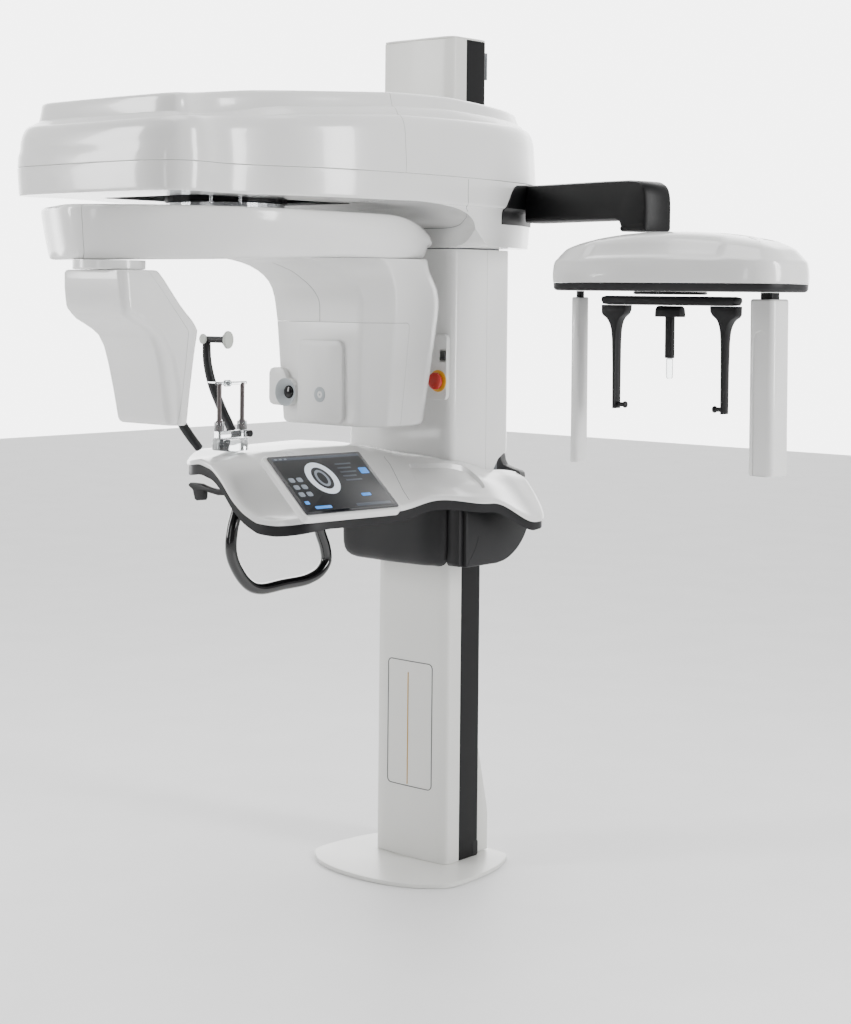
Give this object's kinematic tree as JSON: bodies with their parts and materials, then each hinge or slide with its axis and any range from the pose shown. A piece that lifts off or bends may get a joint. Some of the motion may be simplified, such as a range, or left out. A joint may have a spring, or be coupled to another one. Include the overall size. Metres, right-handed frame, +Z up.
{
  "type": "panoramic dental x-ray machine",
  "caption": "Floor-standing dental x-ray machine: column, lifting crane, rotating source and detector arm, chin-rest shelf with screen and grip, side cephalometric arm.",
  "frame": {"origin": "on the floor under the fixed column, at the underside of the base plate", "axes": "+Z up; -Y towards the machine's front, where the rotation axis is; +X towards the cephalometric arm"},
  "size_m": [1.7448, 1.514, 2.402],
  "materials": {
    "gloss_white": "gloss",
    "warm_white_metal": "semi-gloss powder coat",
    "black_metal": "satin",
    "dark_grey": "satin",
    "gloss_black": "gloss",
    "steel": "satin",
    "frame_metal": "satin",
    "clear_acrylic": "clear",
    "pad_grey": "matte",
    "red": "gloss",
    "screen_glass": "black glass"
  },
  "bodies": {
    "column": {"base_plate": "warm_white_metal", "column_front_profile": "warm_white_metal", "column_rear_profile": "black_metal", "column_top_cap": "warm_white_metal", "wall_bracket": "frame_metal", "rear_cable_cover": "warm_white_metal", "label_plate": "warm_white_metal", "lift_screw": "steel"},
    "carriage": {"carriage_frame": "frame_metal", "carriage_front_cover": "gloss_white", "carriage_rear_cover": "gloss_white", "estop_panel": "gloss_white", "crane_upper_cover_front": "gloss_white", "crane_upper_cover_rear": "gloss_white", "crane_lower_cover_front": "gloss_white", "crane_lower_cover_rear": "gloss_white", "crane_frame": "frame_metal", "y_rail_left": "steel", "y_rail_right": "steel", "ceph_arm": "black_metal", "ceph_head_cover": "gloss_white", "ceph_base_trim": "dark_grey"},
    "e_stop": {"e_stop_button": "red"},
    "rocker": {"power_rocker": "gloss_black"},
    "stage": {"stage_plate": "frame_metal", "slew_bearing": "dark_grey", "rotation_motor": "dark_grey"},
    "rotor": {"rotor_hub": "steel", "rotor_beam_cover": "gloss_white", "rotor_end_cap": "gloss_white", "source_tube_head": "frame_metal", "source_inner_cover": "gloss_white", "source_outer_cover": "gloss_white", "source_front_panel": "gloss_white", "camera_pod": "gloss_white", "detector_neck": "gloss_white"},
    "detector": {"detector_inner_cover": "gloss_white", "detector_outer_cover": "gloss_white", "flat_panel_sensor": "dark_grey"},
    "shelf": {"shelf_top_cover": "gloss_white", "shelf_edge_trim": "dark_grey", "shelf_front_bracket": "dark_grey", "shelf_side_bracket": "dark_grey", "touch_screen_housing": "gloss_white", "touch_screen_glass": "screen_glass", "hand_grip": "gloss_black", "remote_hook": "dark_grey", "chin_rest_base": "clear_acrylic"},
    "bite": {"bite_support": "clear_acrylic"},
    "temple_near": {"temple_arm_near": "dark_grey", "temple_pad_near": "pad_grey"},
    "temple_far": {"temple_arm_far": "dark_grey", "temple_pad_far": "pad_grey"},
    "craniostat": {"craniostat_bar": "dark_grey"},
    "ear_inner": {"ear_arm_inner": "dark_grey"},
    "ear_outer": {"ear_arm_outer": "dark_grey"},
    "nasion": {"nasion_support": "dark_grey"},
    "collimator": {"ceph_collimator": "gloss_white"},
    "sensor": {"ceph_sensor": "gloss_white"}
  },
  "joints": [
    {"name": "lift", "type": "slide", "parent": "column", "child": "carriage", "axis": [0, 0, 1], "range_m": [-0.55, 0.1]},
    {"name": "e_stop_press", "type": "slide", "parent": "carriage", "child": "e_stop", "axis": [0, 1, 0], "range_m": [0, 0.004]},
    {"name": "power_rocker_tilt", "type": "hinge", "parent": "carriage", "child": "rocker", "pos_m": [0.18, -0.184, 1.485], "axis": [1, 0, 0], "range_deg": [-5, 5]},
    {"name": "stage_slide", "type": "slide", "parent": "carriage", "child": "stage", "axis": [0, 1, 0], "range_m": [-0.03, 0.018]},
    {"name": "rotor_turn", "type": "hinge", "parent": "stage", "child": "rotor", "pos_m": [0, -0.857, 1.88], "axis": [0, 0, 1], "range_deg": [-180, 180]},
    {"name": "detector_flip", "type": "hinge", "parent": "rotor", "child": "detector", "pos_m": [0.02, -1.265, 1.7], "axis": [0, 0, 1], "range_deg": [0, 90]},
    {"name": "shelf_height", "type": "slide", "parent": "carriage", "child": "shelf", "axis": [0, 0, 1], "range_m": [-0.05, 0.045]},
    {"name": "bite_lift", "type": "slide", "parent": "shelf", "child": "bite", "axis": [0, 0, 1], "range_m": [0, 0.03]},
    {"name": "temple_near_open", "type": "hinge", "parent": "shelf", "child": "temple_near", "pos_m": [-0.036, -0.912, 1.25], "axis": [1, 0, 0], "range_deg": [-4, 10]},
    {"name": "temple_far_open", "type": "hinge", "parent": "shelf", "child": "temple_far", "pos_m": [-0.036, -0.784, 1.25], "axis": [-1, 0, 0], "range_deg": [-4, 10]},
    {"name": "craniostat_turn", "type": "hinge", "parent": "carriage", "child": "craniostat", "pos_m": [0.934, -0.165, 1.66], "axis": [0, 0, 1], "range_deg": [-90, 90]},
    {"name": "ear_inner_slide", "type": "slide", "parent": "craniostat", "child": "ear_inner", "axis": [1, 0, 0], "range_m": [-0.008, 0.055]},
    {"name": "ear_outer_slide", "type": "slide", "parent": "craniostat", "child": "ear_outer", "axis": [-1, 0, 0], "range_m": [-0.008, 0.055]},
    {"name": "nasion_swing", "type": "hinge", "parent": "craniostat", "child": "nasion", "pos_m": [0.934, -0.165, 1.62], "axis": [-1, 0, 0], "range_deg": [0, 90]},
    {"name": "collimator_scan", "type": "slide", "parent": "carriage", "child": "collimator", "axis": [0, 1, 0], "range_m": [-0.06, 0.06]},
    {"name": "sensor_scan", "type": "slide", "parent": "carriage", "child": "sensor", "axis": [0, 1, 0], "range_m": [-0.06, 0.06]}
  ],
  "couplings": [
    {"joint": "temple_far_open", "follows": "temple_near_open", "ratio": 1},
    {"joint": "ear_outer_slide", "follows": "ear_inner_slide", "ratio": 1},
    {"joint": "collimator_scan", "follows": "sensor_scan", "ratio": 1}
  ]
}
